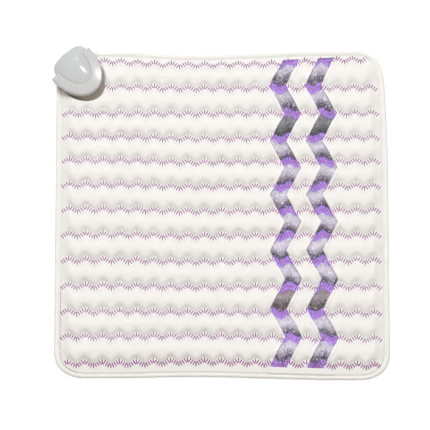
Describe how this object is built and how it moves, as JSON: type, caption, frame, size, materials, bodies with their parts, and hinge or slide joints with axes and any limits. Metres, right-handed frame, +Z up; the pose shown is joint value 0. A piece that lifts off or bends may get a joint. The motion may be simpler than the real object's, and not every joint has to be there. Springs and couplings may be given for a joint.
{
  "type": "heating pad",
  "caption": "Square quilted heating mat filled with crushed stones seen through zigzag windows, with a grey corner connector whose domed head pulls out.",
  "frame": {"origin": "centre of the mat's underside, on the surface it lies on", "axes": "+Z up out of the mat; +Y towards the edge next to the corner unit; the unit sits on the -X +Y corner"},
  "size_m": [0.514, 0.5177, 0.036],
  "materials": {
    "cover_fabric": "satin laminated polyester, quilted",
    "piping_fabric": "folded binding round a cord",
    "welt_vinyl": "glossy white welted strip",
    "window_film": "clear glossy film",
    "base_fabric": "matt non-slip base cloth",
    "felt": "needled felt",
    "liner_fabric": "thin woven liner",
    "crushed_stone": "crushed violet and grey stones",
    "stitch_thread": "violet quilting thread",
    "shell_plastic": "glossy light grey",
    "head_plastic": "glossy light grey, a little darker",
    "inner_plastic": "moulded, plain",
    "black_plastic": "moulded, plain",
    "gland_rubber": "soft grey",
    "wire_jacket": "extruded jacket",
    "red_jacket": "extruded jacket",
    "board_laminate": "glass laminate",
    "contact_brass": "plated",
    "screw_steel": "zinc plated"
  },
  "bodies": {
    "mat": {"base_cover": "base_fabric", "insulation_felt": "felt", "inner_liner": "liner_fabric", "edge_piping": "piping_fabric", "cover_panel_left": "cover_fabric", "cover_panel_middle": "cover_fabric", "cover_panel_right": "cover_fabric", "window_film_1": "window_film", "window_1_welt_left": "welt_vinyl", "window_1_welt_right": "welt_vinyl", "window_film_2": "window_film", "window_2_welt_left": "welt_vinyl", "window_2_welt_right": "welt_vinyl", "stone_fill_01": "crushed_stone", "stone_fill_02": "crushed_stone", "stone_fill_03": "crushed_stone", "stone_fill_04": "crushed_stone", "stone_fill_05": "crushed_stone", "stone_fill_06": "crushed_stone", "stone_fill_07": "crushed_stone", "stone_fill_08": "crushed_stone", "stone_fill_09": "crushed_stone", "stone_fill_10": "crushed_stone", "stone_fill_11": "crushed_stone", "stone_fill_12": "crushed_stone", "heating_wire": "wire_jacket", "supply_crimp": "screw_steel", "thermal_cutoff": "black_plastic", "supply_lead": "red_jacket", "return_crimp": "screw_steel", "return_lead": "wire_jacket", "temperature_sensor": "black_plastic", "sensor_lead": "gland_rubber", "clamp_plate": "inner_plastic", "dock_lower_shell": "shell_plastic", "dock_upper_shell": "shell_plastic", "dock_socket_tray": "inner_plastic", "dock_contact_block": "black_plastic", "contact_pin_1": "contact_brass", "contact_pin_2": "contact_brass", "contact_pin_3": "contact_brass", "dock_screw_1": "screw_steel", "dock_screw_2": "screw_steel", "dock_screw_3": "screw_steel", "dock_screw_4": "screw_steel"},
    "head": {"head_lower_shell": "head_plastic", "head_upper_shell": "head_plastic", "head_contact_block": "black_plastic", "head_circuit_board": "board_laminate", "head_cord_gland": "gland_rubber", "board_screw_1": "screw_steel", "board_screw_2": "screw_steel"}
  },
  "joints": [
    {"name": "head_release", "type": "slide", "parent": "mat", "child": "head", "axis": [-0.6743, 0.7385, 0], "range_m": [0, 0.045]}
  ]
}
